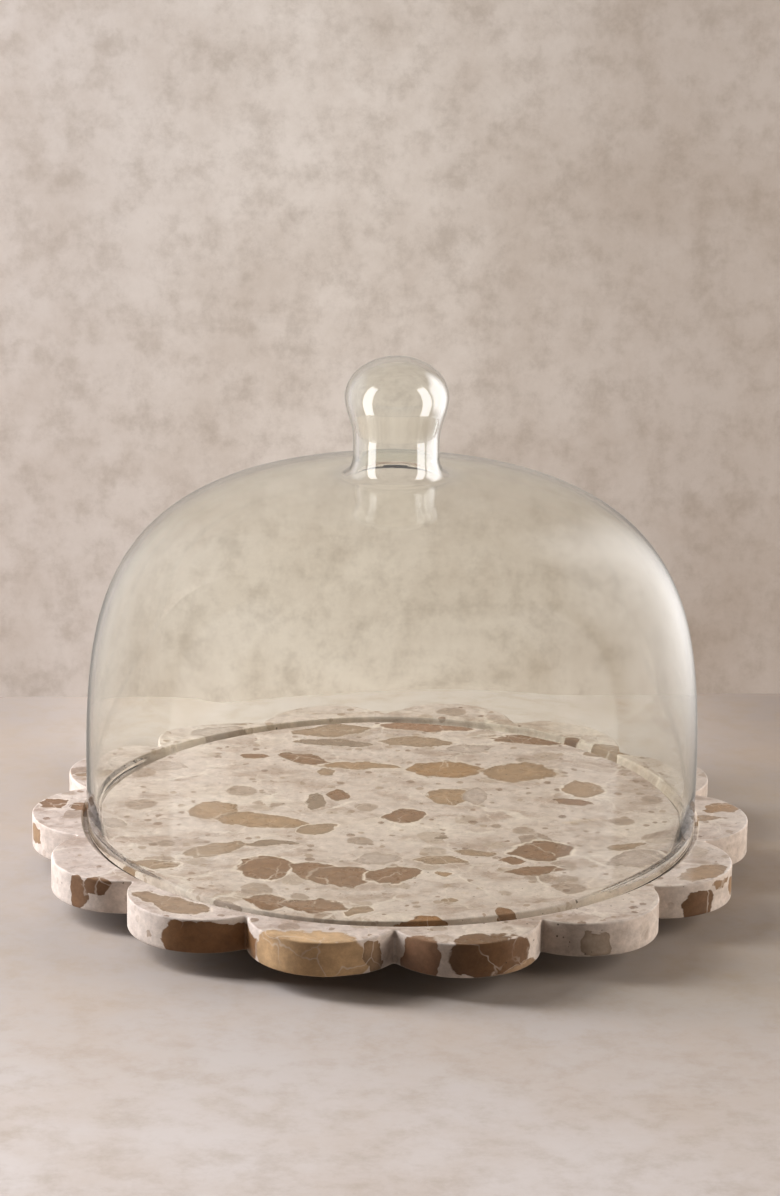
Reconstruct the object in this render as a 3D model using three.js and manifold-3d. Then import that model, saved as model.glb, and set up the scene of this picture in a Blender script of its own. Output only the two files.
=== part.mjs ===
// A glass dome with a hollow knob, standing in a ring groove in a scalloped stone board.
// The board stands on four rubber feet, each held by a disc of adhesive.
// Millimetres, +Z up. The origin is on the table, under the centre of the board.
import * as THREE from 'three';
import Module from 'manifold-3d';
import { mergeVertices } from 'three/addons/utils/BufferGeometryUtils.js';

// ---- Glass dome ----
const domeRadius = 150; // outside of the glass at the rim
const domeHeight = 173.7; // board top to the crown of the dome, below the knob
const domeRadialPower = 2.77; // powers of the superellipse that the dome follows
const domeVerticalPower = 3.94;
const glassWall = 3;
const rimWidth = 4.4; // the fused rim is thicker than the wall, on the inside
const rimHeight = 9; // height over which the wall grows to the rim's width
const rimRound = 1.1;

// ---- Knob, blown in one piece with the dome ----
const knobRadius = 25;
const knobNeckRadius = 20.8;
const knobNeckHeight = 17.5; // crown of the dome to the narrowest part of the neck
const knobBellyHeight = 38; // crown of the dome to the widest part of the knob
const knobCapHeight = 19.3; // widest part to the top
const flareWidth = 6.5; // the neck runs out into the dome in a quarter ellipse
const flareHeight = 9;

// ---- Stone board ----
const boardThickness = 16.5;
const lobeCount = 14;
const scallopDepth = 20.4; // notch to the crown of a lobe
const notchFillet = 1.2;
const edgeChamfer = 0.8;
const grooveDepth = 3;
const grooveOuterClearance = 2.2; // groove wall to the outside of the glass
const grooveInnerClearance = 1.4; // groove wall to the inside of the rim
const grooveCorner = 0.7;
const notchLand = 4.4; // stone left between the groove and a notch

// ---- Feet ----
const footCount = 4;
const footRadius = 11;
const footTipRadius = 9.2; // the foot narrows to this just above its rounded lower edge
const footHeight = 10;
const footRound = 1;
const adhesiveThickness = 0.5;
const adhesiveMargin = 0.6; // the disc is this much smaller than the foot, all round
const footInset = 44; // groove to the ring that the feet stand on

// ---- Fineness of the facets ----
const glassSegments = 48;
const grooveSegments = 84;
const footSegments = 24;
const lobeSteps = 5;

// ---- Sizes that follow from the ones above ----
const grooveOuterRadius = domeRadius + grooveOuterClearance;
const grooveInnerRadius = domeRadius - rimWidth - grooveInnerClearance;
const notchRadius = grooveOuterRadius + notchLand;
const boardRadius = notchRadius + scallopDepth;
const boardBottom = footHeight + adhesiveThickness;
const boardTop = boardBottom + boardThickness;
const footCircle = grooveInnerRadius - footInset;
const adhesiveRadius = footRadius - adhesiveMargin;

const stone = new THREE.MeshStandardMaterial({ color: 0xc9b59b, roughness: 0.45 });
const glass = new THREE.MeshStandardMaterial({
  color: 0xe4e6dc, roughness: 0.03, transparent: true, opacity: 0.3,
});
const rubber = new THREE.MeshStandardMaterial({ color: 0x2a2825, roughness: 0.8 });
const adhesive = new THREE.MeshStandardMaterial({ color: 0xdedad2, roughness: 0.6 });

const wasm = await Module();
wasm.setup();

function solidOf(geometry) {
  const bare = geometry.clone();
  bare.deleteAttribute('normal');
  bare.deleteAttribute('uv');
  const merged = mergeVertices(bare, 1e-4);
  return new wasm.Manifold(new wasm.Mesh({
    numProp: 3,
    vertProperties: new Float32Array(merged.attributes.position.array),
    triVerts: new Uint32Array(merged.index.array),
  }));
}

function geometryOf(solid) {
  const mesh = solid.getMesh();
  const geometry = new THREE.BufferGeometry();
  geometry.setAttribute('position', new THREE.BufferAttribute(mesh.vertProperties, 3));
  geometry.setIndex(new THREE.BufferAttribute(mesh.triVerts, 1));
  geometry.computeVertexNormals();
  return geometry;
}

// LatheGeometry turns its profile round Y, so the result is stood up along Z.
function turned(profile, segments) {
  const points = profile.map(([radius, height]) => new THREE.Vector2(radius, height));
  return new THREE.LatheGeometry(points, segments).rotateX(Math.PI / 2);
}

function named(name, geometry, material) {
  const mesh = new THREE.Mesh(geometry, material.clone());
  mesh.name = name;
  return mesh;
}

// ---- Glass dome: the outside from the knob's top to the skirt, heights above the board ----
const smooth = (share) => share * share * (3 - 2 * share);

function domeSurface(radius) {
  return domeHeight * (1 - (radius / domeRadius) ** domeRadialPower) ** (1 / domeVerticalPower);
}

function outsideProfile() {
  const points = [];
  const belly = domeHeight + knobBellyHeight;
  const neck = domeHeight + knobNeckHeight;
  const flareRadius = knobNeckRadius + flareWidth;
  const flareFoot = domeSurface(flareRadius);
  const capSteps = 6;
  for (let i = 0; i <= capSteps; i += 1) {
    const angle = (i / capSteps) * (Math.PI / 2);
    points.push([knobRadius * Math.sin(angle), belly + knobCapHeight * Math.cos(angle)]);
  }
  const bodySteps = 4;
  for (let i = 1; i <= bodySteps; i += 1) {
    const share = i / bodySteps;
    points.push([
      THREE.MathUtils.lerp(knobRadius, knobNeckRadius, smooth(share)),
      THREE.MathUtils.lerp(belly, neck, share),
    ]);
  }
  const flareSteps = 4;
  for (let i = 0; i <= flareSteps; i += 1) {
    const angle = (i / flareSteps) * (Math.PI / 2);
    points.push([
      flareRadius - flareWidth * Math.cos(angle),
      flareFoot + flareHeight * (1 - Math.sin(angle)),
    ]);
  }
  const shoulderSteps = 11;
  const startAngle = Math.acos((flareRadius / domeRadius) ** (domeRadialPower / 2));
  for (let i = 1; i <= shoulderSteps; i += 1) {
    const angle = startAngle * (1 - i / shoulderSteps);
    points.push([
      domeRadius * Math.cos(angle) ** (2 / domeRadialPower),
      domeHeight * Math.sin(angle) ** (2 / domeVerticalPower),
    ]);
  }
  return points;
}

// The inside is the outside moved in by the wall, square to the surface.
function insideProfile(outside) {
  return outside.map(([radius, height], i) => {
    if (i === 0) return [0, height - glassWall];
    const [r0, z0] = outside[i - 1];
    const [r1, z1] = outside[Math.min(i + 1, outside.length - 1)];
    const length = Math.hypot(r1 - r0, z1 - z0);
    const inward = [(z1 - z0) / length, -(r1 - r0) / length];
    return [radius + inward[0] * glassWall, height + inward[1] * glassWall];
  });
}

function glassDome() {
  const outside = outsideProfile();
  const rimInside = domeRadius - rimWidth;
  const seat = -grooveDepth;
  const inside = insideProfile(outside).filter(([, height]) => height > seat + rimHeight);
  const rim = [
    [domeRadius, seat + rimRound],
    [domeRadius - rimRound * 0.3, seat + rimRound * 0.3],
    [domeRadius - rimRound, seat],
    [rimInside + rimRound, seat],
    [rimInside + rimRound * 0.3, seat + rimRound * 0.3],
    [rimInside, seat + rimRound],
    [rimInside, seat + rimHeight / 3],
    [domeRadius - glassWall, seat + rimHeight],
  ];
  const profile = [...outside, ...rim, ...inside.reverse()];
  return turned(profile.reverse(), glassSegments).translate(0, 0, boardTop);
}

// ---- Stone board: round lobes joined by small concave fillets ----
function lobedOutline() {
  const half = Math.PI / lobeCount;
  const filletCentre = notchRadius + notchFillet;
  const filletAcross = filletCentre * Math.cos(half);
  const lobeRadius = (boardRadius ** 2 - 2 * boardRadius * filletAcross
    + filletCentre ** 2 - notchFillet ** 2) / (2 * (boardRadius - filletAcross + notchFillet));
  const lobeCentre = boardRadius - lobeRadius;
  const sweep = Math.atan2(filletCentre * Math.sin(half), filletAcross - lobeCentre);
  const shape = new THREE.Shape();
  for (let i = 0; i < lobeCount; i += 1) {
    const facing = -Math.PI / 2 + (2 * i + 1) * half; // a notch faces the front, -Y
    const notchFacing = facing + half;
    shape.absarc(
      lobeCentre * Math.cos(facing), lobeCentre * Math.sin(facing), lobeRadius,
      facing - sweep, facing + sweep, false,
    );
    shape.absarc(
      filletCentre * Math.cos(notchFacing), filletCentre * Math.sin(notchFacing), notchFillet,
      facing + sweep + Math.PI, facing + 2 * half - sweep + Math.PI, true,
    );
  }
  return shape;
}

function scallopedBoard() {
  const slab = new THREE.ExtrudeGeometry(lobedOutline(), {
    depth: boardThickness - 2 * edgeChamfer,
    curveSegments: lobeSteps,
    bevelThickness: edgeChamfer,
    bevelSize: edgeChamfer,
    bevelOffset: -edgeChamfer,
    bevelSegments: 1,
  }).translate(0, 0, boardBottom + edgeChamfer);
  const above = boardTop + grooveDepth;
  const floor = boardTop - grooveDepth;
  const ring = turned([
    [grooveInnerRadius, above],
    [grooveInnerRadius, floor + grooveCorner],
    [grooveInnerRadius + grooveCorner, floor],
    [grooveOuterRadius - grooveCorner, floor],
    [grooveOuterRadius, floor + grooveCorner],
    [grooveOuterRadius, above],
    [grooveInnerRadius, above],
  ], grooveSegments);
  return geometryOf(solidOf(slab).subtract(solidOf(ring)));
}

// ---- Feet and the adhesive discs that hold them ----
function rubberFoot() {
  return turned([
    [0, 0],
    [footTipRadius - footRound, 0],
    [footTipRadius, footRound],
    [footRadius, footHeight],
    [0, footHeight],
  ], footSegments);
}

function adhesiveDisc() {
  return turned([
    [0, footHeight],
    [adhesiveRadius, footHeight],
    [adhesiveRadius, boardBottom],
    [0, boardBottom],
  ], footSegments);
}

const cheeseDome = new THREE.Group();
cheeseDome.add(named('glass_dome', glassDome(), glass));
cheeseDome.add(named('scalloped_board', scallopedBoard(), stone));
for (let i = 0; i < footCount; i += 1) {
  const facing = (2 * i + 1) * (Math.PI / footCount);
  const corner = new THREE.Group();
  corner.position.set(footCircle * Math.cos(facing), footCircle * Math.sin(facing), 0);
  corner.add(named(`rubber_foot_${i + 1}`, rubberFoot(), rubber));
  corner.add(named(`adhesive_disc_${i + 1}`, adhesiveDisc(), adhesive));
  cheeseDome.add(corner);
}

export default cheeseDome;
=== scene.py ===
# %% [markdown]
# # A glass dome on a scalloped stone board
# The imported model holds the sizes, the bodies and the joint. This script gives it its looks: blown glass
# with a hollow knob, brecciated marble, rubber feet. Everything is in metres and in the model's own frame,
# so a piece is made where the model says and never has to be fitted.

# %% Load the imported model
import math

import bpy
from mathutils import Matrix, Vector, noise


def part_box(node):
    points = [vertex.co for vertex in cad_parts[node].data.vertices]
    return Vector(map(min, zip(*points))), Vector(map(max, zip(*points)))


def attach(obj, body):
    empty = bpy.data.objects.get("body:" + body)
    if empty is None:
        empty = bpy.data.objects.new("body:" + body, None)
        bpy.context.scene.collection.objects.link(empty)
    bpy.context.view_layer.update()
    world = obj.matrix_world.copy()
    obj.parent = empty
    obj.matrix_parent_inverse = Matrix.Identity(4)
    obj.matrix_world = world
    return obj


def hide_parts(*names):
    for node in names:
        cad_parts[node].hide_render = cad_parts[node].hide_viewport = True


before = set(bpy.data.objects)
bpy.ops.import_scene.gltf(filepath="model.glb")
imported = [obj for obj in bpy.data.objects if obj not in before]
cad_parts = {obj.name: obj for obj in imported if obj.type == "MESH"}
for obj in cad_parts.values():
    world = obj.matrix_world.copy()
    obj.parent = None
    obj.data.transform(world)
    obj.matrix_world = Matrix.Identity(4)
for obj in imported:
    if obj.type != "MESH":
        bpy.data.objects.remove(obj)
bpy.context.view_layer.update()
MM = 0.001

# %% [markdown]
# The main heights and outer radii are read from the model's own boxes, so the two can't drift apart there.
# Sizes inside a piece, such as the groove's and the wall's, are written out below as the model has them.

# %% Read the model's main planes
board_low, board_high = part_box("scalloped_board")
dome_low, dome_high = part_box("glass_dome")
BOARD_TOP = board_high.z
BOARD_BOTTOM = board_low.z
GROOVE_FLOOR = dome_low.z
DOME_RADIUS = dome_high.x
BOARD_RADIUS = board_high.x
print("board top", round(BOARD_TOP, 4), "groove floor", round(GROOVE_FLOOR, 4))

# %% [markdown]
# A camera is placed by what it looks at, how far away it stands, how high, how far round, and how much it
# is rolled. A long lens keeps the dome's sides upright.

# %% Camera
LENS_MM = 110.2
AIM = Vector((-0.0019, 0.0, BOARD_TOP + 0.1113))
CAMERA_DISTANCE = 1.781
CAMERA_ELEVATION = math.radians(16.27)
CAMERA_TURN = math.radians(-0.95)
CAMERA_ROLL = math.radians(0.88)


def look_from(distance, elevation, turn, roll):
    """Where a camera stands and how it is turned, to look at AIM."""
    back = Vector((
        math.sin(turn) * math.cos(elevation),
        -math.cos(turn) * math.cos(elevation),
        math.sin(elevation),
    ))
    facing = (-back).to_track_quat("-Z", "Y").to_matrix() @ Matrix.Rotation(roll, 3, "Z")
    return AIM + back * distance, facing


camera = bpy.data.objects.new("camera", bpy.data.cameras.new("camera"))
bpy.context.scene.collection.objects.link(camera)
camera.data.lens = LENS_MM
place, facing = look_from(CAMERA_DISTANCE, CAMERA_ELEVATION, CAMERA_TURN, CAMERA_ROLL)
camera.matrix_world = Matrix.Translation(place) @ facing.to_4x4()
bpy.context.scene.camera = camera
print("camera stands at", [round(v, 3) for v in place])

# %% [markdown]
# Node trees are easier to read when one call adds a node, sets its options and fills or links its sockets.

# %% Node helpers
def put(tree, kind, sockets=None, **options):
    """Adds a node. Each socket is filled with a value or linked from another socket."""
    made = tree.nodes.new(kind)
    for name, value in options.items():
        setattr(made, name, value)
    for key, value in (sockets or {}).items():
        if isinstance(value, bpy.types.NodeSocket):
            tree.links.new(value, made.inputs[key])
        else:
            made.inputs[key].default_value = value
    return made


def calc(tree, operation, *values, clamp=False):
    """A Math node's result."""
    made = put(tree, "ShaderNodeMath", dict(enumerate(values)), operation=operation, use_clamp=clamp)
    return made.outputs[0]


def vector_calc(tree, operation, *values, result="Vector"):
    """A Vector Math node's result: its vector, or its number if result is Value."""
    return put(tree, "ShaderNodeVectorMath", dict(enumerate(values)), operation=operation).outputs[result]


def xyz(tree, vector):
    """A vector's three numbers."""
    return put(tree, "ShaderNodeSeparateXYZ", {0: vector}).outputs


def off_axis(tree, position):
    """The part of a position that lies square to the upright axis."""
    return vector_calc(tree, "MULTIPLY", position, (1, 1, 0))


def ramp(tree, value, start, end, low=0.0, high=1.0):
    """Value mapped smoothly from start..end to low..high."""
    sockets = {"Value": value, "From Min": start, "From Max": end, "To Min": low, "To Max": high}
    return put(tree, "ShaderNodeMapRange", sockets, interpolation_type="SMOOTHSTEP").outputs["Result"]


def blend_colour(tree, share, under, over, blend_type="MIX"):
    """Over laid on under by share."""
    made = put(tree, "ShaderNodeMix", data_type="RGBA", blend_type=blend_type)
    for socket, value in ((made.inputs[0], share), (made.inputs[6], under), (made.inputs[7], over)):
        if isinstance(value, bpy.types.NodeSocket):
            tree.links.new(value, socket)
        else:
            socket.default_value = value
    return made.outputs[2]


def colour(code):
    """A colour written as six hex digits, as the shader wants it."""
    shares = [int(code[i:i + 2], 16) / 255 for i in (0, 2, 4)]
    return (*[s / 12.92 if s <= 0.04045 else ((s + 0.055) / 1.055) ** 2.4 for s in shares], 1.0)


def new_material(name):
    """A material with one Principled BSDF. Returns the material, its tree and the shader."""
    material = bpy.data.materials.new(name)
    material.use_nodes = True
    return material, material.node_tree, material.node_tree.nodes["Principled BSDF"]


def new_group(name, inputs, outputs):
    """A shader node group with named sockets. Returns it, its inputs inside, and its outputs inside."""
    group = bpy.data.node_groups.new(name, "ShaderNodeTree")
    for label, kind, value in inputs:
        socket = group.interface.new_socket(name=label, in_out="INPUT", socket_type=kind)
        socket.default_value = value
    for label, kind in outputs:
        group.interface.new_socket(name=label, in_out="OUTPUT", socket_type=kind)
    return group, put(group, "NodeGroupInput").outputs, put(group, "NodeGroupOutput").inputs


# %% [markdown]
# Every piece here is a skin over a stack of closed loops: turned glass, a lobed slab, a moulded foot. One
# helper joins loops of equal length with quads and closes both ends, so every piece is one watertight body.

# %% Mesh helpers
def ring(radius, height, steps, middle=(0.0, 0.0)):
    """A level circle of points."""
    turns = [2 * math.pi * i / steps for i in range(steps)]
    return [(middle[0] + radius * math.cos(t), middle[1] + radius * math.sin(t), height) for t in turns]


def skin(name, loops, crease=None):
    """A closed mesh over a stack of loops. The first and last loops shrink to a point in their middle."""
    steps = len(loops[0])
    points = [point for loop in loops for point in loop]
    faces = [
        (i * steps + j, i * steps + (j + 1) % steps, (i + 1) * steps + (j + 1) % steps, (i + 1) * steps + j)
        for i in range(len(loops) - 1) for j in range(steps)
    ]
    for loop, start, flip in ((loops[0], 0, True), (loops[-1], (len(loops) - 1) * steps, False)):
        middle = sum((Vector(p) for p in loop), Vector()) / steps
        points.append(tuple(middle))
        for j in range(steps):
            side = (start + j, start + (j + 1) % steps)
            faces.append((*(side[::-1] if flip else side), len(points) - 1))
    mesh = bpy.data.meshes.new(name)
    mesh.from_pydata(points, [], faces)
    mesh.validate()
    mesh.polygons.foreach_set("use_smooth", [True] * len(mesh.polygons))
    if crease is not None:
        mesh.set_sharp_from_angle(angle=crease)
    made = bpy.data.objects.new(name, mesh)
    bpy.context.scene.collection.objects.link(made)
    return made


def dress(piece, material, body, slot, *nodes):
    """Gives a piece its material and the body it rides on, and hides the nodes it replaces. Slot is not used.
    """
    piece.data.materials.clear()
    piece.data.materials.append(material)
    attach(piece, body)
    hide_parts(*nodes)
    print(piece.name, "has", len(piece.data.polygons), "faces")


# %% [markdown]
# The stage is a plain floor with a plain upright sheet close behind the object. Seen from behind, each is
# clear, so that neither hides the object in a view from the back or from below. Both are painted plaster,
# and faint clouds and grit keep it from looking like paper. Light and shade are painted in as well: the
# floor is painted lighter towards the front and darker towards the back, the backdrop lighter in the
# middle than at its sides. Painted shade darkens both out towards the lamps, where they catch the most
# light, and a painted pool of light makes the floor paler just behind the board. Neither shows in
# reflections, which keeps the glass clean.

# %% Floor and backdrop
BACKDROP_DISTANCE = 0.276
BACKDROP_TURN = math.radians(2.7)
STAGE_SIZE = 1.8
DARKER_FROM, DARKEST_FROM = 0.3, 0.75
PALE_HALF_WIDTH, PALE_FADE_WIDTH = 0.09, 0.23
PALE_FADE_DEPTH, PALE_DEPTH = 0.12, 0.21
CLOUDS = {"Scale": 9.0, "Detail": 8.0, "Roughness": 0.72}
GRIT = {"Scale": 48.0, "Detail": 7.0, "Roughness": 0.7}


def stained(tree, paint, place, texture, start, end, share, tone):
    """The paint with a second tone let into it, up to share, where the noise runs from start to end."""
    patches = put(tree, "ShaderNodeTexNoise", {"Vector": place, **texture})
    amount = ramp(tree, patches.outputs["Fac"], start, end, 0.0, share)
    return blend_colour(tree, amount, paint, colour(tone))


def stage_material(name, axis, bands, painted_light_patch=None):
    """Matt plaster that can't be seen from behind, with painted light and shade in bands along one axis."""
    material, tree, shader = new_material(name)
    place = put(tree, "ShaderNodeTexCoord").outputs["Object"]
    along = xyz(tree, place)[axis]
    paint = colour(bands[0][1])
    # The bands are painted light and shade, standing in for how the lamps' light falls off across the stage.
    for (start, _), (end, tone) in zip(bands, bands[1:]):
        paint = blend_colour(tree, ramp(tree, along, start, end), paint, colour(tone))
    across = calc(tree, "ABSOLUTE", xyz(tree, place)[0])
    # Painted shade: the paint darkens out towards the lamps, where the stage catches their hottest light.
    painted_shade_near_lamps = ramp(tree, across, DARKER_FROM, DARKEST_FROM, 0.0, 0.85)
    paint = blend_colour(tree, painted_shade_near_lamps, paint, colour("57524E"))
    # The pale patch is a painted pool of light on the floor just behind the board.
    if painted_light_patch:
        beside = ramp(tree, across, PALE_FADE_WIDTH, PALE_HALF_WIDTH)
        behind = ramp(tree, along, PALE_FADE_DEPTH, PALE_DEPTH)
        paint = blend_colour(tree, calc(tree, "MULTIPLY", beside, behind), paint, colour(painted_light_patch))
    paint = stained(tree, paint, place, CLOUDS, 0.35, 0.7, share=0.35, tone="A8937D")
    paint = stained(tree, paint, place, GRIT, 0.42, 0.72, share=0.34, tone="94836F")
    tree.links.new(paint, shader.inputs["Base Color"])
    shader.inputs["Roughness"].default_value = 0.9
    shader.inputs["Specular IOR Level"].default_value = 0.1
    clear = put(tree, "ShaderNodeBsdfTransparent")
    side = put(tree, "ShaderNodeNewGeometry").outputs["Backfacing"]
    both = put(tree, "ShaderNodeMixShader", {0: side, 1: shader.outputs[0], 2: clear.outputs[0]})
    tree.links.new(both.outputs[0], tree.nodes["Material Output"].inputs["Surface"])
    return material


def sheet_of(name, corners, material):
    """A flat four-cornered sheet of the stage."""
    mesh = bpy.data.meshes.new(name)
    mesh.from_pydata(corners, [], [(0, 1, 2, 3)])
    made = bpy.data.objects.new(name, mesh)
    made.data.materials.append(material)
    bpy.context.scene.collection.objects.link(made)
    return made


half = STAGE_SIZE / 2
# The floor's bands are painted light: lighter at the front, darker towards the back.
floor = sheet_of(
    "floor", [(-half, -STAGE_SIZE, 0), (half, -STAGE_SIZE, 0), (half, half, 0), (-half, half, 0)],
    stage_material("floor_paint", 1, [(-0.45, "CDC4BF"), (-0.1, "9D948E"), (0.25, "918780")], "B4ABA5"),
)
# The backdrop's bands are painted light: lightest in the middle, darker towards the sides.
backdrop = sheet_of(
    "backdrop", [(-half, 0, 0), (half, 0, 0), (half, 0, half), (-half, 0, half)],
    stage_material("backdrop_paint", 0, [(-0.22, "E0D7D0"), (-0.02, "F4ECE4"), (0.2, "D8CEC6")]),
)
backdrop.matrix_world = Matrix.Translation((0, BACKDROP_DISTANCE, 0)) @ Matrix.Rotation(BACKDROP_TURN, 4, "Z")
floor.visible_glossy = False
backdrop.visible_glossy = False
print("stage", STAGE_SIZE, "m wide, backdrop", BACKDROP_DISTANCE, "m behind the middle")

# %% [markdown]
# The main light is a tall soft box at the left, a little behind the object. A wider, warmer one fills from
# the right, and a strip hangs near the backdrop. Nothing shines from the front, which keeps the glass clear
# and lets the board's front edge fall into shade. The lamps stay out of reflections. The air lights the
# object only faintly, but it is an even pale grey where it is seen or mirrored. A ray that has passed
# through the glass counts as both, so bare air looks about twice as bright through the dome as beside it.

# %% Studio light
def turned_to(place, aim):
    """The placing of something at place that faces aim."""
    turn = (Vector(aim) - Vector(place)).to_track_quat("-Z", "Y")
    return Matrix.Translation(place) @ turn.to_matrix().to_4x4()


def soft_box(name, place, aim, width, height, watts, tone):
    """An area light that is only seen by what it shines on."""
    data = bpy.data.lights.new(name, "AREA")
    data.shape = "RECTANGLE"
    data.size, data.size_y = width, height
    data.energy = watts
    data.color = colour(tone)[:3]
    made = bpy.data.objects.new(name, data)
    bpy.context.scene.collection.objects.link(made)
    made.matrix_world = turned_to(place, aim)
    made.visible_camera = False
    made.visible_glossy = False
    made.visible_transmission = False


soft_box("soft_box_left", (-0.9, 0.12, 0.5), (0, 0, 0.1), width=0.25, height=0.8, watts=24, tone="F8FAFF")
soft_box("soft_box_right", (1.4, -0.1, 0.5), (0, 0, 0.1), width=1.0, height=1.0, watts=24, tone="FFF8F0")
soft_box("strip_above", (-0.6, 0.2, 1.0), (0, -0.1, 0), width=0.6, height=0.15, watts=4, tone="FAFBFF")

STRAY_GLOW, SEEN_GLOW, MIRRORED_GLOW = 0.03, 0.52, 0.52
world = bpy.data.worlds.new("studio_air")
world.use_nodes = True
air = world.node_tree
air.nodes["Background"].inputs["Color"].default_value = colour("EAE0D5")
rays = put(air, "ShaderNodeLightPath").outputs
seen = calc(air, "MAXIMUM", rays["Is Camera Ray"], rays["Is Transmission Ray"])
glow = calc(air, "MULTIPLY_ADD", rays["Is Glossy Ray"], MIRRORED_GLOW, STRAY_GLOW)
air.links.new(calc(air, "MULTIPLY_ADD", seen, SEEN_GLOW, glow), air.nodes["Background"].inputs["Strength"])
bpy.context.scene.world = world
bpy.context.scene.view_settings.view_transform = "Standard"

# %% [markdown]
# What the glass mirrors besides the air is a set of cards that light nothing. A broad one stands at each
# side, near the backdrop, and puts a soft sheen on the dome's shoulders. A narrow one each side, further
# forward, gives the knob its two upright highlights. A faint one lies in front, for the lower wall.

# %% Cards for the glass to mirror
def mirror_card(name, placing, width, height, plateau, strength):
    """A card that only shows in reflections: even over its plateau's share, then fading to its edges."""
    material = bpy.data.materials.new(name + "_glow")
    material.use_nodes = True
    tree = material.node_tree
    tree.nodes.clear()
    position = put(tree, "ShaderNodeTexCoord").outputs["Object"]
    parts = xyz(tree, vector_calc(tree, "ABSOLUTE", position))
    x, y = width / 2, height / 2
    fade = calc(
        tree, "MULTIPLY", ramp(tree, parts[0], x, x * plateau), ramp(tree, parts[1], y, y * plateau))
    glow = put(tree, "ShaderNodeEmission", {"Strength": strength})
    clear = put(tree, "ShaderNodeBsdfTransparent")
    both = put(tree, "ShaderNodeMixShader", {0: fade, 1: clear.outputs[0], 2: glow.outputs[0]})
    output = put(tree, "ShaderNodeOutputMaterial")
    tree.links.new(both.outputs[0], output.inputs["Surface"])
    card = sheet_of(name, [(-x, -y, 0), (x, -y, 0), (x, y, 0), (-x, y, 0)], material)
    card.matrix_world = placing
    card.visible_camera = False
    card.visible_diffuse = False
    card.visible_transmission = False
    card.visible_shadow = False


BROAD_CARD = Vector((0.38, 0.09, 0.28))
BROAD_FACING = Vector((-0.69, -0.72, 0))
NARROW_CARD = Vector((0.556, -0.225, 0.3))
for side, side_name, strength in ((-1, "left", 0.9), (1, "right", 2.7)):
    mirrored = Vector((side, 1, 1))
    stand = BROAD_CARD * mirrored
    placing = turned_to(stand, stand + BROAD_FACING * mirrored)
    mirror_card(
        "mirror_card_" + side_name, placing, width=0.56, height=0.66, plateau=0.45, strength=strength)
    stand = NARROW_CARD * mirrored
    placing = turned_to(stand, (0, 0, stand.z))
    mirror_card("knob_card_" + side_name, placing, width=0.3, height=1.2, plateau=0.7, strength=2.7)
placing = Matrix.Translation((0, -1.4, 0.004))
mirror_card("mirror_card_front", placing, width=5.0, height=2.4, plateau=0.1, strength=0.4)

# %% [markdown]
# The dome is blown in one piece with its knob, and the knob is hollow and open to the dome. It could be a
# lathe with a Screw modifier, but the wall has an inside of its own, so both faces are worked out here: the
# outside as curves, the inside as the outside moved in by the wall. The shoulder is a superellipse, the knob
# an ellipse on a tapering neck, and the neck runs out into the crown in a quarter ellipse.

# %% Outline of the glass
CROWN = 173.7 * MM
RADIAL_POWER, VERTICAL_POWER = 2.77, 3.94
GLASS_WALL = 3.0 * MM
RIM_WIDTH = 4.4 * MM
RIM_HEIGHT = 9.0 * MM
RIM_ROUND = 1.1 * MM
KNOB_RADIUS, NECK_RADIUS = 25.0 * MM, 20.8 * MM
NECK_HEIGHT, BELLY_HEIGHT, CAP_HEIGHT = 17.5 * MM, 38.0 * MM, 19.3 * MM
FLARE_WIDTH, FLARE_HEIGHT = 6.5 * MM, 9.0 * MM
GLASS_STEPS = 160


def quarter(steps):
    """Angles over a quarter turn, both ends included."""
    return [math.pi / 2 * i / steps for i in range(steps + 1)]


def glass_outside():
    """(radius, height over the board) from the knob's top down to the board's top."""
    belly, neck = CROWN + BELLY_HEIGHT, CROWN + NECK_HEIGHT
    points = [(KNOB_RADIUS * math.sin(a), belly + CAP_HEIGHT * math.cos(a)) for a in quarter(24)]
    for i in range(1, 17):
        share = i / 16
        radius = KNOB_RADIUS + (NECK_RADIUS - KNOB_RADIUS) * share * share * (3 - 2 * share)
        points.append((radius, belly + (neck - belly) * share))
    flare_radius = NECK_RADIUS + FLARE_WIDTH
    foot = CROWN * (1 - (flare_radius / DOME_RADIUS) ** RADIAL_POWER) ** (1 / VERTICAL_POWER)
    points += [
        (flare_radius - FLARE_WIDTH * math.cos(a), foot + FLARE_HEIGHT * (1 - math.sin(a)))
        for a in quarter(12)
    ]
    start = math.acos((flare_radius / DOME_RADIUS) ** (RADIAL_POWER / 2))
    shoulder_steps = 72
    for i in range(1, shoulder_steps + 1):
        angle = start * (1 - i / shoulder_steps)
        radius = DOME_RADIUS * math.cos(angle) ** (2 / RADIAL_POWER)
        points.append((radius, CROWN * math.sin(angle) ** (2 / VERTICAL_POWER)))
    return points


def moved_in(points, wall):
    """The line moved in by wall, square to itself."""
    moved = [(0.0, points[0][1] - wall)]
    for i in range(1, len(points)):
        (r0, z0), (r1, z1) = points[i - 1], points[min(i + 1, len(points) - 1)]
        length = math.hypot(r1 - r0, z1 - z0)
        moved.append((points[i][0] + (z1 - z0) / length * wall, points[i][1] - (r1 - r0) / length * wall))
    return moved


# %% [markdown]
# The rim is fused in a flame, which leaves it thicker than the wall on the inside and round underneath. Blown
# glass is never quite true, so every loop wavers a little, and the inside wavers in its own way.

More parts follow.
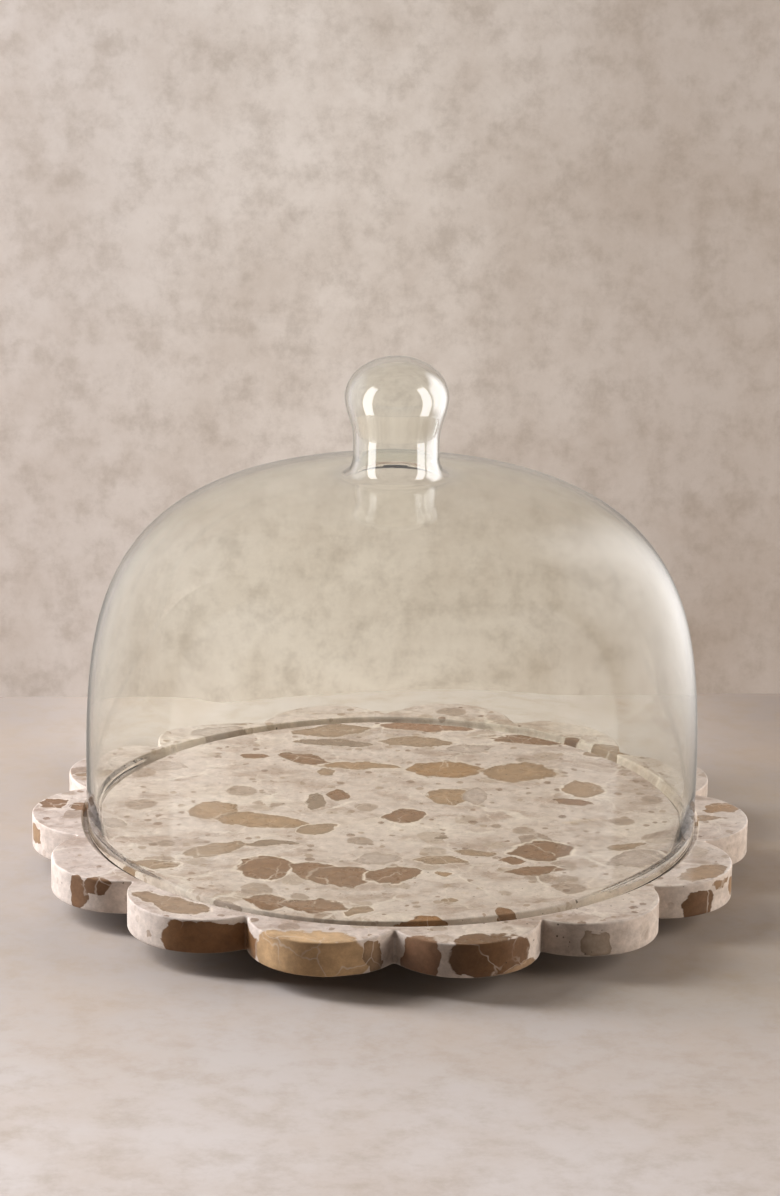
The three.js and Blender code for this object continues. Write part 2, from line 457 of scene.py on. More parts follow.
# %% Blow the glass
def glass_rim(seat):
    """The fused rim: thicker than the wall, on the inside, and round underneath."""
    inside = DOME_RADIUS - RIM_WIDTH
    bends = quarter(6)
    outer = [
        (DOME_RADIUS - RIM_ROUND * (1 - math.cos(a)), seat + RIM_ROUND * (1 - math.sin(a))) for a in bends
    ]
    inner = [
        (inside + RIM_ROUND * (1 - math.sin(a)), seat + RIM_ROUND * (1 - math.cos(a))) for a in bends
    ]
    rise = [
        (inside + (RIM_WIDTH - GLASS_WALL) * s * s * (3 - 2 * s), seat + RIM_HEIGHT * (0.3 + 0.7 * s))
        for s in (i / 8 for i in range(9))
    ]
    return outer + inner + rise


def waver(point, depth, seed):
    """Moves a point by blown glass's faint waver."""
    place = Vector(point)
    swell = noise.noise(place * 14 + Vector((seed, 0, 0))) + 0.4 * noise.noise(place * 33)
    away = Vector((place.x, place.y, 0)).normalized() if place.xy.length > 1e-6 else Vector()
    return place + away * swell * depth


outside = glass_outside()
seat = GROOVE_FLOOR - BOARD_TOP
inside = [p for p in moved_in(outside, GLASS_WALL) if p[1] > seat + RIM_HEIGHT]
wall_line = outside[:-1] + glass_rim(seat) + inside[::-1]
loops = [ring(max(radius, 1e-5), BOARD_TOP + height, GLASS_STEPS) for radius, height in wall_line]
WAVER_DEPTH = 0.16 * MM
for place_in_line, loop in enumerate(loops):
    seed = 0 if place_in_line < len(outside) else 7
    loops[place_in_line] = [tuple(waver(point, WAVER_DEPTH, seed)) for point in loop]
glass_dome = skin("blown_glass_dome", loops[::-1])
print("dome turned from", len(loops), "loops")

# %% [markdown]
# Clear soda glass has a faint warm green cast that only shows where light passes through a lot of it. Lamps
# have to reach the stone inside, so rays from lamps and from matt surfaces pass straight through, tinted.
# The dome's wide wall mirrors little, while the knob is fire polished and sparkles, so the knob's outer skin
# gets a coat, which fades out where the neck runs into the crown.

# %% Clear glass
COAT_RADIUS, COAT_FADE_RADIUS = 27 * MM, 36 * MM
COAT_FADE_HEIGHT, COAT_HEIGHT = BOARD_TOP + 150 * MM, BOARD_TOP + 165 * MM
glass, tree, shader = new_material("clear_glass")
shader.inputs["Base Color"].default_value = colour("FEFFFA")
shader.inputs["Roughness"].default_value = 0.0
shader.inputs["IOR"].default_value = 1.5
shader.inputs["Transmission Weight"].default_value = 1.0
shader.inputs["Specular Tint"].default_value = (0.28, 0.28, 0.28, 1.0)
position = put(tree, "ShaderNodeTexCoord").outputs["Object"]
outward = off_axis(tree, position)
near_axis = ramp(tree, vector_calc(tree, "LENGTH", outward, result="Value"), COAT_FADE_RADIUS, COAT_RADIUS)
above_crown = ramp(tree, xyz(tree, position)[2], COAT_FADE_HEIGHT, COAT_HEIGHT)
on_knob = calc(tree, "MULTIPLY", near_axis, above_crown)
surface = put(tree, "ShaderNodeNewGeometry").outputs
facing_out = vector_calc(tree, "DOT_PRODUCT", surface["Normal"], outward, result="Value")
outer_skin = calc(
    tree, "SUBTRACT", calc(tree, "GREATER_THAN", facing_out, 0.0), surface["Backfacing"], clamp=True)
tree.links.new(calc(tree, "MULTIPLY", on_knob, outer_skin), shader.inputs["Coat Weight"])
shader.inputs["Coat IOR"].default_value = 2.6
shader.inputs["Coat Roughness"].default_value = 0.0
rays = put(tree, "ShaderNodeLightPath").outputs
passing = calc(tree, "MAXIMUM", rays["Is Shadow Ray"], rays["Is Diffuse Ray"])
straight = put(tree, "ShaderNodeBsdfTransparent", {"Color": colour("FBFBF9")})
both = put(tree, "ShaderNodeMixShader", {0: passing, 1: shader.outputs[0], 2: straight.outputs[0]})
tree.links.new(both.outputs[0], tree.nodes["Material Output"].inputs["Surface"])
dress(glass_dome, glass, "dome", "clear_glass", "glass_dome")

# %% [markdown]
# The board is one slab of stone, cut to round lobes with a small fillet in each notch, and a ring groove is
# milled into its top for the glass. A boolean would leave long thin faces, so the slab is skinned from loops
# that all follow the edge.

# %% Outline of the board
LOBES = 14
NOTCH_RADIUS = 156.6 * MM
NOTCH_FILLET = 1.2 * MM
GROOVE_OUTER, GROOVE_INNER = 152.2 * MM, 144.2 * MM
GROOVE_CORNER = 0.7 * MM
EASED_EDGE = 0.8 * MM
HALF_LOBE = math.pi / LOBES
FILLET_CENTRE = NOTCH_RADIUS + NOTCH_FILLET
LOBE_RADIUS = (
    BOARD_RADIUS ** 2 - 2 * BOARD_RADIUS * FILLET_CENTRE * math.cos(HALF_LOBE)
    + FILLET_CENTRE ** 2 - NOTCH_FILLET ** 2
) / (2 * (BOARD_RADIUS - FILLET_CENTRE * math.cos(HALF_LOBE) + NOTCH_FILLET))
LOBE_CENTRE = BOARD_RADIUS - LOBE_RADIUS
SWEEP = math.atan2(FILLET_CENTRE * math.sin(HALF_LOBE), FILLET_CENTRE * math.cos(HALF_LOBE) - LOBE_CENTRE)
LOBE_STEPS, FILLET_STEPS = 44, 10


def arc(centre, radius, facing, start, end, steps, inward):
    """Edge points on an arc: (arc's centre, direction to the point, radius, which way the stone lies)."""
    middle = Vector((centre * math.cos(facing), centre * math.sin(facing)))
    turns = [start + (end - start) * i / steps for i in range(steps)]
    return [(middle, Vector((math.cos(t), math.sin(t))), radius, inward) for t in turns]


edge = []
for lobe in range(LOBES):
    facing = -math.pi / 2 + (2 * lobe + 1) * HALF_LOBE
    edge += arc(LOBE_CENTRE, LOBE_RADIUS, facing, facing - SWEEP, facing + SWEEP, LOBE_STEPS, -1)
    turned_back = facing + math.pi
    edge += arc(
        FILLET_CENTRE, NOTCH_FILLET, facing + HALF_LOBE,
        turned_back + SWEEP, turned_back + 2 * HALF_LOBE - SWEEP, FILLET_STEPS, 1,
    )
print("lobe radius", round(LOBE_RADIUS, 4), "edge points", len(edge))

# %% [markdown]
# A mason eases the edge by hand, so its width wanders, and it has a few small chips. A Bevel modifier would
# give one even width, so the eased edge is made of loops whose inset changes from point to point.

# %% Ease and chip the edge
CHIPS = [
    (37, 0.9), (118, 1.3), (205, 0.8), (301, 1.1), (362, 0.7), (433, 1.2), (520, 0.9), (611, 1.4), (702, 0.8),
]
CHIP_REACH = 3.5


def edge_point(i, inset, height):
    """A point of the edge, moved into the stone by inset."""
    middle, way, radius, inward = edge[i]
    flat = middle + way * (radius + inward * inset)
    return (flat.x, flat.y, height)


def eased_width(i, level):
    """How far the eased edge reaches in at this point: wandering, and deeper at a chip."""
    x, y, _ = edge_point(i, 0, 0)
    width = 1 + 0.45 * noise.noise(Vector((x * 60, y * 60, level)))
    for where, depth in CHIPS:
        away = abs(i - (where + 31 * level) % len(edge)) / CHIP_REACH
        width += depth * max(0.0, 1 - away * away)
    return EASED_EDGE * width


def edge_loop(inset, height):
    """A level loop that follows the edge, moved into the stone by inset."""
    return [edge_point(i, inset, height) for i in range(len(edge))]


def eased_loops(level, height, up):
    """The loops of one eased edge, from the side face round to the level face."""
    widths = [eased_width(i, level) for i in range(len(edge))]
    made = []
    for angle in quarter(4):
        made.append([
            edge_point(i, w * (1 - math.cos(angle)), height + up * w * (math.sin(angle) - 1))
            for i, w in enumerate(widths)
        ])
    return made


def land_loops(outer, radius, height, shares):
    """Loops that run from the eased edge in to a circle."""
    loops = []
    for share in shares:
        loop = []
        for x, y, _ in outer:
            length = math.hypot(x, y)
            reach = length + (radius - length) * share
            loop.append((x / length * reach, y / length * reach, height))
        loops.append(loop)
    return loops


# %% [markdown]
# The slab's loops run from the middle of its underside out to the edge, up its side, and back in over the
# land, down and up through the groove, and over the round table on which the cheese stands.

# %% Cut the board
top_edge = eased_loops(0, BOARD_TOP, 1)
bottom_edge = eased_loops(1, BOARD_BOTTOM, -1)
underside = land_loops(bottom_edge[-1], 10 * MM, BOARD_BOTTOM, (1.0, 0.75, 0.5, 0.3, 0.12, 0.03))
side_shares = (0.12, 0.3, 0.5, 0.7, 0.88)
side = [
    edge_loop(0, BOARD_BOTTOM + EASED_EDGE + (BOARD_TOP - BOARD_BOTTOM - 2 * EASED_EDGE) * share)
    for share in side_shares
]
LIP = 0.25 * MM
groove = [
    (GROOVE_OUTER + 3 * LIP, BOARD_TOP), (GROOVE_OUTER + LIP, BOARD_TOP), (GROOVE_OUTER, BOARD_TOP - LIP),
    (GROOVE_OUTER, GROOVE_FLOOR + 2 * GROOVE_CORNER), (GROOVE_OUTER, GROOVE_FLOOR + GROOVE_CORNER),
    (GROOVE_OUTER - 0.3 * GROOVE_CORNER, GROOVE_FLOOR + 0.3 * GROOVE_CORNER),
    (GROOVE_OUTER - GROOVE_CORNER, GROOVE_FLOOR), (GROOVE_OUTER - 2 * GROOVE_CORNER, GROOVE_FLOOR),
    (GROOVE_INNER + 2 * GROOVE_CORNER, GROOVE_FLOOR), (GROOVE_INNER + GROOVE_CORNER, GROOVE_FLOOR),
    (GROOVE_INNER + 0.3 * GROOVE_CORNER, GROOVE_FLOOR + 0.3 * GROOVE_CORNER),
    (GROOVE_INNER, GROOVE_FLOOR + GROOVE_CORNER), (GROOVE_INNER, BOARD_TOP - LIP),
    (GROOVE_INNER - LIP, BOARD_TOP), (GROOVE_INNER - 3 * LIP, BOARD_TOP),
]
land = land_loops(top_edge[-1], GROOVE_OUTER + 3 * LIP, BOARD_TOP, (0.03, 0.12, 0.3, 0.5, 0.75))
rings = [land_loops(top_edge[-1], radius, height, (1.0,))[0] for radius, height in groove]
table = [
    land_loops(top_edge[-1], GROOVE_INNER * share, BOARD_TOP, (1.0,))[0]
    for share in (0.9, 0.75, 0.6, 0.45, 0.3, 0.15, 0.04)
]
slab_loops = underside + bottom_edge[::-1] + side + top_edge + land + rings + table
board = skin("scalloped_stone_board", slab_loops)
print("board cut from", len(slab_loops), "loops")

# %% [markdown]
# The stone is a breccia: lumps of brown rock, from a few millimetres to some centimetres, set in a cream
# paste and crossed by pale veins. The big lumps give this slab its character, so they are placed one by one
# as bodies in the stone. Each is a rounded block with its own size and turn, so where the slab is cut, its
# side shows the same lumps as its top. One node group makes a lump, and it is chained once for each. The
# place runs through the chain as well, so that the renderer works the lumps out one after another. From its
# middle outwards a lump has a body, a darker rim, and a pale halo in the paste round it. The bands say how
# strong each of the three is at each reach.

# %% One lump in the stone
LINK_WEIGHT = 1e-6
lump_group, got, give = new_group(
    "stone_lump",
    [
        ("Place", "NodeSocketVector", (0, 0, 0)), ("Middle", "NodeSocketVector", (0, 0, 0)),
        ("Half Size", "NodeSocketVector", (10, 10, 10)), ("Turn", "NodeSocketVector", (0, 0, 0)),
        ("Under", "NodeSocketColor", (1, 1, 1, 1)), ("Lump", "NodeSocketColor", (0.3, 0.2, 0.1, 1)),
        ("Block", "NodeSocketFloat", 0.3), ("Halo", "NodeSocketFloat", 0.3),
    ],
    [("Colour", "NodeSocketColor"), ("Place", "NodeSocketVector")],
)
reach = put(lump_group, "ShaderNodeMapping", {
    "Vector": got["Place"], "Location": got["Middle"], "Rotation": got["Turn"], "Scale": got["Half Size"],
}, vector_type="TEXTURE").outputs[0]
round_reach = vector_calc(lump_group, "LENGTH", reach, result="Value")
spread = vector_calc(lump_group, "ABSOLUTE", reach)
sides = xyz(lump_group, spread)
square_reach = calc(lump_group, "MAXIMUM", calc(lump_group, "MAXIMUM", sides[0], sides[1]), sides[2])
pointed_reach = vector_calc(lump_group, "DOT_PRODUCT", spread, (1, 1, 1), result="Value")
corners = put(lump_group, "ShaderNodeMix", {0: got["Block"], 2: pointed_reach, 3: square_reach}).outputs[0]
FULL_REACH = 3.0
LUMP_BANDS = [
    (1.3, 1, 0, 0), (2.24, 0, 0, 0), (1.85, 1, 0, 0.7), (1.95, 1, 0, 1),
    (2.02, 0, 0.3, 0), (2.06, 0, 1, 0), (2.13, 0, 0.9, 0),
]
reach_share = calc(lump_group, "DIVIDE", calc(lump_group, "ADD", corners, round_reach), FULL_REACH)
band_node = put(lump_group, "ShaderNodeValToRGB", {0: reach_share})
bands = band_node.color_ramp.elements
for number, (band_reach, body, halo, rim) in enumerate(LUMP_BANDS):
    band = bands[number] if number < 2 else bands.new(band_reach / FULL_REACH)
    band.position = band_reach / FULL_REACH
    band.color = (body, halo, rim, 1)
print("bands in a lump", len(bands))
masks = put(lump_group, "ShaderNodeSeparateColor", {0: band_node.outputs[0]}).outputs
rimmed = blend_colour(
    lump_group, calc(lump_group, "MULTIPLY", masks[2], 0.4), got["Lump"], colour("64503F"))
filled = blend_colour(lump_group, masks[0], got["Under"], rimmed)
ringed = blend_colour(
    lump_group, calc(lump_group, "MULTIPLY", masks[1], got["Halo"]), filled, colour("C6B8AB"))
lump_group.links.new(ringed, give["Colour"])
passed_on = vector_calc(lump_group, "MULTIPLY_ADD", ringed, (LINK_WEIGHT,) * 3, got["Place"])
lump_group.links.new(passed_on, give["Place"])

# %% [markdown]
# Lumps are listed as a mason would point them out: where (millimetres from the middle, and how deep), how
# big (half sizes along, across and down), which way they lie, and of what tone.

# %% The slab's own lumps
TONES = {
    "umber": "866141", "bark": "664A33", "brown": "765841", "taupe": "89725D", "mist": "A09086",
    "tan": "8E7359", "honey": "B99872", "ochre": "8C6C4C", "grey": "7C6959", "mauve": "84634C",
    "pale": "BBA898", "clay": "A59484",
}
TOP_LUMPS = [
    (-61, -76, 16, 14, 12, "brown"), (-37, -79, 12, 11, -20, "brown"), (-22, -86, 17, 11, 5, "brown"),
    (0, -84, 15, 11, 20, "brown"), (-58, -117, 12, 13, 10, "brown"), (-37, -122, 17, 14, -15, "brown"),
    (-16, -130, 5, 10, -30, "taupe"), (-88, 4, 14, 14, 25, "tan"), (-64, -12, 24, 10, -12, "tan"),
    (-37, -22, 11, 8, 25, "taupe"), (-36, 17, 7, 13, -10, "grey"), (-25, 27, 5, 10, 10, "brown"),
    (7, -2, 10, 11, 8, "brown"), (29, 28, 12, 13, 8, "tan"), (43, 28, 6, 13, 0, "mist"),
    (73, -49, 16, 14, 15, "brown"), (68, -77, 16, 7, 10, "brown"), (57, -63, 7, 6, 0, "brown"),
    (24, -64, 12, 6, -8, "taupe"), (38, -53, 12, 5, -6, "taupe"), (-8, -62, 14, 8, 10, "mist"),
    (25, -83, 6, 4, 0, "tan"), (-43, 83, 15, 8, -25, "brown"), (-70, 87, 8, 5, -5, "brown"),
    (-15, 72, 22, 6, -4, "tan"), (30, 70, 22, 13, 5, "ochre"), (67, 66, 20, 18, -10, "tan"),
    (98, 40, 11, 13, 20, "tan"), (92, 22, 10, 5, -20, "brown"), (-29, 130, 22, 11, 5, "taupe"),
    (20, 137, 27, 9, 0, "mauve"), (-27, 110, 22, 6, -6, "grey"), (15, 112, 20, 8, 0, "taupe"),
    (77, 118, 24, 9, -8, "brown"), (-93, 127, 17, 15, 20, "mist"), (-117, 70, 12, 7, -10, "mist"),
    (-137, -17, 7, 9, 0, "mist"), (-84, -51, 18, 8, 20, "taupe"), (-58, -44, 14, 4, 8, "grey"),
    (-112, -72, 13, 8, 10, "taupe"), (116, -62, 15, 13, 15, "mist"), (110, -43, 12, 5, 0, "taupe"),
    (-103, -126, 24, 9, -32, "taupe"), (-80, -124, 10, 4, -20, "mist"), (147, -79, 18, 9, 35, "tan"),
    (-168, 11, 11, 8, 40, "brown"), (-152, 8, 8, 7, 20, "brown"), (167, 13, 14, 8, 20, "ochre"),
    (155, -3, 11, 4, 10, "taupe"), (18, -144, 17, 5, 0, "umber"), (50, -134, 5, 6, 20, "brown"),
    (26, -117, 4, 3, 0, "taupe"), (-32, 63, 5, 7, 0, "taupe"), (118, 100, 16, 10, 30, "taupe"),
    (-150, 55, 9, 6, 0, "taupe"), (24, -33, 3.5, 4, 0, "grey"), (45, 104, 14, 7, 10, "mist"),
]
SIDE_LUMPS = [
    (-174, -13, -8, 5, 6, 5, 0, "tan"), (-165, -82, -11, 6, 5, 4, 0, "ochre"),
    (-151, -94, -8, 8, 8, 8, 30, "brown"), (-141, -101, -4, 9, 8, 6, 30, "brown"),
    (-145, -103, -16, 7, 6, 4, 30, "brown"), (-123, -142, -9, 13, 10, 12, -30, "pale"),
    (-92, -153, -9.5, 34, 18, 9.2, 20, "umber"), (-84, -156, -9, 8, 8, 6, 0, "ochre"),
    (-42, -172, -10.5, 31, 17, 11.5, 0, "honey"), (-10, -163, -9, 5, 6, 9, 0, "tan"),
    (13, -165, -9, 10, 10, 10, 10, "mauve"), (44, -172, -7, 20, 15, 9, 5, "bark"),
    (58, -165, -16, 14, 12, 3, 0, "tan"), (92, -150, -10, 9, 9, 7, 40, "clay"),
    (133, -122, -7, 7, 7, 7.5, 50, "mauve"), (126, -130, -15, 4, 4, 3, 0, "taupe"),
    (145, -104, -11, 19, 11, 8, 60, "bark"), (165, -72, -8, 4, 5, 5, 0, "ochre"),
    (138, -112, -5, 9, 8, 5, 60, "taupe"),
]
print("placed lumps", len(TOP_LUMPS) + len(SIDE_LUMPS))


# %% [markdown]
# The paste is cream with streaks that flow one way, and holds pebbles and crumbs. The lumps come next, then
# hairline veins and grime over everything, and last the pits, painted dark as shade in their hollows, most
# of them round one spot of the front edge.
# The top is honed. Upright faces are painted paler: the board's sides, and the groove's walls a little over
# half as much, as painted light against the shade that falls in the groove.

# %% Stone paste, small pebbles, lumps, veins and pits
PITTED_SPOT = (75, -140, -4)
GROOVE_WALL_LIGHT_SHARE = 0.55
stone, tree, shader = new_material("brecciated_marble")
position = put(tree, "ShaderNodeTexCoord").outputs["Object"]
place = put(tree, "ShaderNodeVectorMath", {0: position, "Scale": 1 / MM}, operation="SCALE").outputs[0]
place = vector_calc(tree, "SUBTRACT", place, (0, 0, BOARD_TOP / MM))


def stone_noise(at, scale, detail=3.0, roughness=0.55):
    """Noise whose features are about 1 / scale millimetres wide. Returns its value and its colour."""
    made = put(
        tree, "ShaderNodeTexNoise",
        {"Vector": at, "Scale": scale, "Detail": detail, "Roughness": roughness},
    )
    return made.outputs["Fac"], made.outputs["Color"]


def shaken(at, scale, reach, detail=3.0):
    """The place moved about by noise, by up to reach millimetres."""
    shake = vector_calc(tree, "SUBTRACT", stone_noise(at, scale, detail)[1], (0.5, 0.5, 0.5))
    scaled = put(tree, "ShaderNodeVectorMath", {0: shake, "Scale": 2 * reach}, operation="SCALE").outputs[0]
    return vector_calc(tree, "ADD", at, scaled)


def grains(at, scale, share, reach):
    """Scattered grains: their mask, and a random number for each."""
    cells = put(tree, "ShaderNodeTexVoronoi", {"Vector": at, "Scale": scale})
    chances = put(tree, "ShaderNodeSeparateColor", {0: cells.outputs["Color"]}).outputs
    size = calc(tree, "MULTIPLY", reach, calc(tree, "ADD", chances[1], 0.35))
    near = ramp(tree, calc(tree, "DIVIDE", cells.outputs["Distance"], size), 1.0, 0.86)
    return calc(tree, "MULTIPLY", near, calc(tree, "LESS_THAN", chances[0], share)), chances[2]


def veins(at, scale, width):
    """Thin sheets between cells of stone, which come and go."""
    cells = put(tree, "ShaderNodeTexVoronoi", {"Vector": at, "Scale": scale}, feature="DISTANCE_TO_EDGE")
    presence = ramp(tree, stone_noise(at, scale * 1.3, 2.0)[0], 0.42, 0.62)
    local_width = calc(tree, "MULTIPLY", width, presence)
    sheets = ramp(tree, calc(tree, "SUBTRACT", cells.outputs["Distance"], local_width), 0.012, 0.0)
    return calc(tree, "MULTIPLY", sheets, presence)


bent = shaken(shaken(shaken(place, 0.03, 6.0), 0.07, 3.5), 0.22, 0.8)
shards = put(tree, "ShaderNodeTexVoronoi", {"Vector": bent, "Scale": 0.12}).outputs["Color"]
bent = vector_calc(tree, "ADD", bent, vector_calc(
    tree, "MULTIPLY", vector_calc(tree, "SUBTRACT", shards, (0.5, 0.5, 0.5)), (1.3, 1.3, 1.0)))
upward = xyz(tree, put(tree, "ShaderNodeNewGeometry").outputs["Normal"])[2]
honed = ramp(tree, upward, 0.7, 0.98)

flow = vector_calc(tree, "MULTIPLY", bent, (0.45, 1.0, 1.3))
paste = blend_colour(
    tree, ramp(tree, stone_noise(flow, 0.06, 6.0, 0.66)[0], 0.44, 0.64), colour("B4A59C"), colour("99867A"))
paste = blend_colour(
    tree, ramp(tree, stone_noise(flow, 0.024, 4.0)[0], 0.5, 0.7), paste, colour("BEB0A5"))
paste = blend_colour(
    tree, ramp(tree, stone_noise(flow, 0.034, 4.0, 0.6)[0], 0.64, 0.8, 0.0, 0.7), paste, colour("A58C68"))
pebbles, pebble_chance = grains(shaken(place, 0.12, 2.2), 0.062, 0.36, 0.46)
pebble_tone = blend_colour(tree, pebble_chance, colour("836F60"), colour("9F8E80"))
paste = blend_colour(tree, calc(tree, "MULTIPLY", pebbles, 0.8), paste, pebble_tone)
crumbs, crumb_chance = grains(shaken(place, 0.3, 0.8), 0.2, 0.22, 0.4)
crumb_tone = blend_colour(tree, crumb_chance, colour("6E5443"), colour("8E7A69"))
paste = blend_colour(tree, calc(tree, "MULTIPLY", crumbs, 0.8), paste, crumb_tone)
paste = blend_colour(tree, calc(tree, "MULTIPLY", veins(bent, 0.022, 0.012), 0.8), paste, colour("C4B7AC"))
from_axis = vector_calc(tree, "LENGTH", off_axis(tree, place), result="Value")
# Upright faces are painted paler; on the groove's walls this is painted light against the groove's shade.
outside_groove = ramp(
    tree, from_axis, GROOVE_OUTER / MM + 0.8, GROOVE_OUTER / MM + 2.3, GROOVE_WALL_LIGHT_SHARE, 1.0)
paler_uprights_and_groove_light = calc(tree, "MULTIPLY", calc(tree, "MULTIPLY_ADD", honed, -0.5, 0.5), outside_groove)
paste = blend_colour(tree, paler_uprights_and_groove_light, paste, colour("D6C9BE"))

mottle = ramp(tree, stone_noise(place, 0.2, 7.0, 0.75)[0], 0.3, 0.7, 0.8, 1.14)


def lump(stone_so_far, middle, half_size, turn, tone, block, halo):
    """The stone, as (colour, place), with one more lump in it."""
    under, at = stone_so_far
    made = put(tree, "ShaderNodeGroup", {
        "Place": at, "Middle": middle, "Half Size": half_size, "Turn": (0, 0, math.radians(turn)),
        "Under": under, "Lump": colour(TONES[tone]), "Block": block, "Halo": halo,
    }, node_tree=lump_group)
    return made.outputs["Colour"], made.outputs["Place"]


stone_so_far = (paste, bent)
for number, (x, y, along, across, turn, tone) in enumerate(TOP_LUMPS):
    deep = 0.8 * across + 2
    halo = 0.85 if number % 3 == 0 else 0.35
    half_size = (1.12 * along, 1.08 * across, deep)
    stone_so_far = lump(stone_so_far, (x, y, -0.25 * deep), half_size, turn, tone, 0.3, halo)
for x, y, z, along, across, deep, turn, tone in SIDE_LUMPS:
    stone_so_far = lump(stone_so_far, (x, y, z), (along, across, deep), turn, tone, 1.0, 0.4)
blended = stone_so_far[0]
shade = put(tree, "ShaderNodeCombineXYZ", {0: mottle, 1: mottle, 2: mottle}).outputs[0]
blended = vector_calc(tree, "MULTIPLY", blended, shade)

fine_veins = veins(shaken(place, 0.05, 9.0), 0.03, 0.003)
blended = blend_colour(tree, calc(tree, "MULTIPLY", fine_veins, 0.45), blended, colour("CBBDB0"))
grime = calc(tree, "MULTIPLY", ramp(tree, stone_noise(place, 0.6, 6.0, 0.7)[0], 0.5, 0.8), 0.25)
blended = blend_colour(tree, grime, blended, colour("7C6856"))
from_spot = vector_calc(tree, "DISTANCE", place, PITTED_SPOT, result="Value")
ragged_reach = calc(tree, "MULTIPLY_ADD", stone_noise(place, 0.04, 3.0)[0], 70, from_spot)
pit_field = ramp(tree, ragged_reach, 110, 50, 0.03, 0.5)
pit_cells = put(tree, "ShaderNodeTexVoronoi", {"Vector": shaken(place, 0.7, 0.4), "Scale": 0.3})
pit_chance = put(tree, "ShaderNodeSeparateColor", {0: pit_cells.outputs["Color"]}).outputs
pit_reach = calc(tree, "MULTIPLY_ADD", pit_chance[1], 0.12, 0.06)
pits = calc(
    tree, "MULTIPLY", ramp(tree, calc(tree, "DIVIDE", pit_cells.outputs["Distance"], pit_reach), 1.0, 0.7),
    calc(tree, "LESS_THAN", pit_chance[0], pit_field))
# The pits' dark colour is painted shade in their hollows.
blended = blend_colour(tree, calc(tree, "MULTIPLY", pits, 0.85), blended, colour("33281E"))
tree.links.new(blended, shader.inputs["Base Color"])

print("stone nodes", len(tree.nodes))

# %% [markdown]
# Honing closes the stone's grain and waxing leaves a thin gloss, so the top is a little smoother and has a
# faint coat, while the sides stay satin. The pits are dull and sunk.

# %% Honed top, satin sides
rough = calc(tree, "MULTIPLY_ADD", stone_noise(place, 0.09, 4.0)[0], 0.16, 0.3)
rough = calc(tree, "SUBTRACT", rough, calc(tree, "MULTIPLY", honed, 0.1))
tree.links.new(calc(tree, "ADD", rough, calc(tree, "MULTIPLY", pits, 0.4)), shader.inputs["Roughness"])
grain = calc(tree, "MULTIPLY", stone_noise(place, 0.9, 4.0)[0], 0.12)
height = calc(tree, "SUBTRACT", grain, pits)
relief = put(tree, "ShaderNodeBump", {"Strength": 0.35, "Distance": 0.0004, "Height": height})
tree.links.new(relief.outputs["Normal"], shader.inputs["Normal"])
shader.inputs["Specular IOR Level"].default_value = 0.12
tree.links.new(calc(tree, "MULTIPLY", honed, 0.45), shader.inputs["Coat Weight"])
shader.inputs["Coat Roughness"].default_value = 0.16
dress(board, stone, "board", "brecciated_stone", "scalloped_board")

# %% [markdown]
# The board stands on four moulded rubber feet. Each has a rounded lower edge and a shallow cup in its
# underside that helps it to grip, and it is stuck to the stone with a disc of clear adhesive.

# %% Feet and adhesive
FOOT_ROUND = 1.0 * MM
CUP_RADIUS, CUP_DEPTH = 3.2 * MM, 0.7 * MM
FOOT_STEPS = 72
MIDDLE_RING = 0.3 * MM


def foot_loops(low, high):
    """A foot's loops from the middle of its underside up to the middle of its top."""
    middle = ((low.x + high.x) / 2, (low.y + high.y) / 2)
    radius = (high.x - low.x) / 2
    tip = radius - 1.8 * MM
    line = [(MIDDLE_RING, low.z + CUP_DEPTH), (0.6 * CUP_RADIUS, low.z + 0.9 * CUP_DEPTH)]
    line += [(CUP_RADIUS, low.z + 0.15 * CUP_DEPTH), (CUP_RADIUS + 0.4 * MM, low.z)]
    line += [
        (tip - FOOT_ROUND * (1 - math.sin(a)), low.z + FOOT_ROUND * (1 - math.cos(a))) for a in quarter(6)
    ]
    line += [(tip + (radius - tip) * share, low.z + FOOT_ROUND + (high.z - low.z - 1.6 * MM) * share)
             for share in (0.3, 0.6, 0.9)]
    line += [(radius, high.z - 0.4 * MM), (radius - 0.12 * MM, high.z - 0.12 * MM)]
    line += [(radius - 0.4 * MM, high.z), (radius * 0.6, high.z), (MIDDLE_RING, high.z)]
    return [ring(r, z, FOOT_STEPS, middle) for r, z in line]


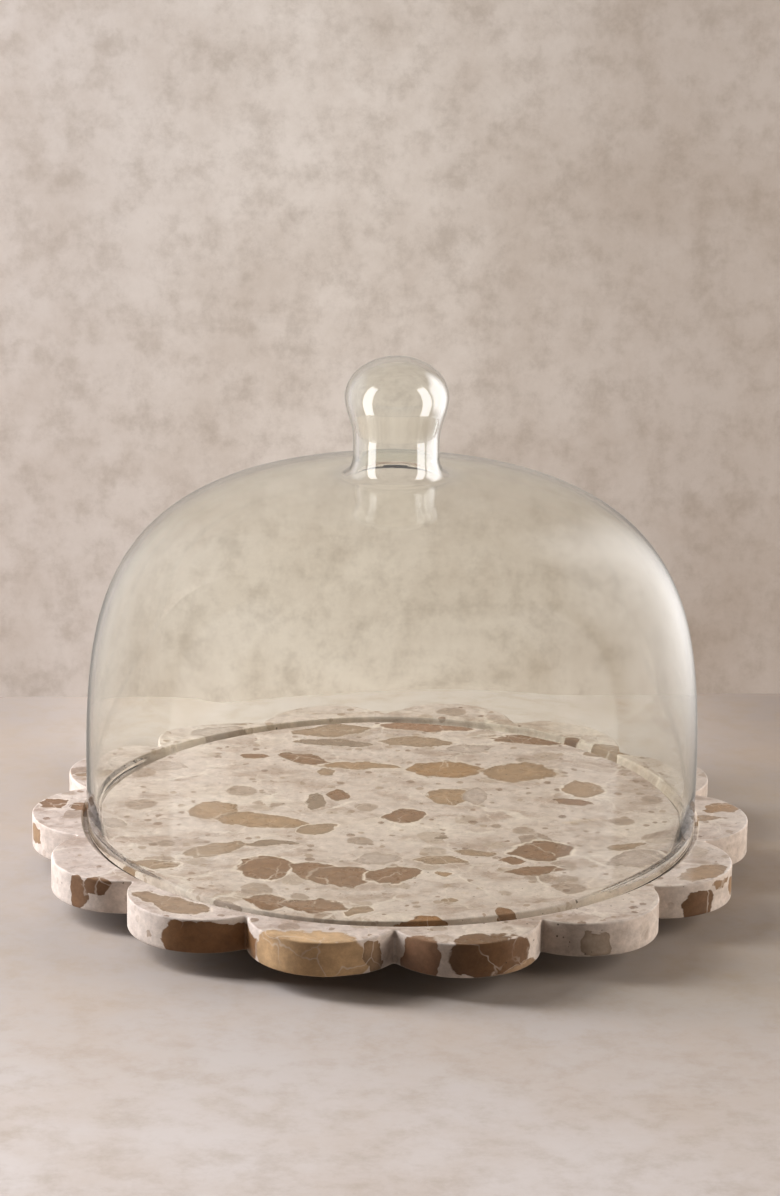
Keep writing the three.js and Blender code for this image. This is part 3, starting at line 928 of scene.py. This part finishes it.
rubber, tree, shader = new_material("foot_rubber")
place = put(tree, "ShaderNodeTexCoord").outputs["Object"]
skin_noise = put(tree, "ShaderNodeTexNoise", {"Vector": place, "Scale": 900.0, "Detail": 3.0}).outputs["Fac"]
dust_noise = put(tree, "ShaderNodeTexNoise", {"Vector": place, "Scale": 160.0, "Detail": 5.0}).outputs["Fac"]
dust = ramp(tree, dust_noise, 0.45, 0.75, 0.0, 0.35)
tree.links.new(blend_colour(tree, dust, colour("2B2926"), colour("55504A")), shader.inputs["Base Color"])
tree.links.new(ramp(tree, dust_noise, 0.3, 0.7, 0.55, 0.8), shader.inputs["Roughness"])
rubber_relief = put(tree, "ShaderNodeBump", {"Strength": 0.25, "Distance": 0.0002, "Height": skin_noise})
tree.links.new(rubber_relief.outputs["Normal"], shader.inputs["Normal"])

adhesive, tree, shader = new_material("clear_adhesive")
place = put(tree, "ShaderNodeTexCoord").outputs["Object"]
haze = put(tree, "ShaderNodeTexNoise", {"Vector": place, "Scale": 300.0, "Detail": 4.0}).outputs["Fac"]
tree.links.new(blend_colour(tree, haze, colour("D9D4C8"), colour("B9B2A4")), shader.inputs["Base Color"])
tree.links.new(ramp(tree, haze, 0.3, 0.7, 0.3, 0.5), shader.inputs["Roughness"])


def adhesive_loops(low, high):
    """A die-cut disc whose edge is squeezed a little out of round."""
    middle = ((low.x + high.x) / 2, (low.y + high.y) / 2)
    radius = (high.x - low.x) / 2
    bulge = 0.12 * MM
    line = [(MIDDLE_RING, low.z), (radius - 2 * bulge, low.z), (radius - bulge, low.z + 0.02 * MM)]
    line += [(radius, (low.z + high.z) / 2), (radius - bulge, high.z - 0.02 * MM)]
    line += [(radius - 2 * bulge, high.z), (MIDDLE_RING, high.z)]
    return [ring(r, z, FOOT_STEPS, middle) for r, z in line]


for number in range(1, 5):
    foot = skin(f"moulded_foot_{number}", foot_loops(*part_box(f"rubber_foot_{number}")))
    dress(foot, rubber, "board", "foot_rubber", f"rubber_foot_{number}")
    disc = skin(f"adhesive_pad_{number}", adhesive_loops(*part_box(f"adhesive_disc_{number}")))
    dress(disc, adhesive, "board", "adhesive", f"adhesive_disc_{number}")
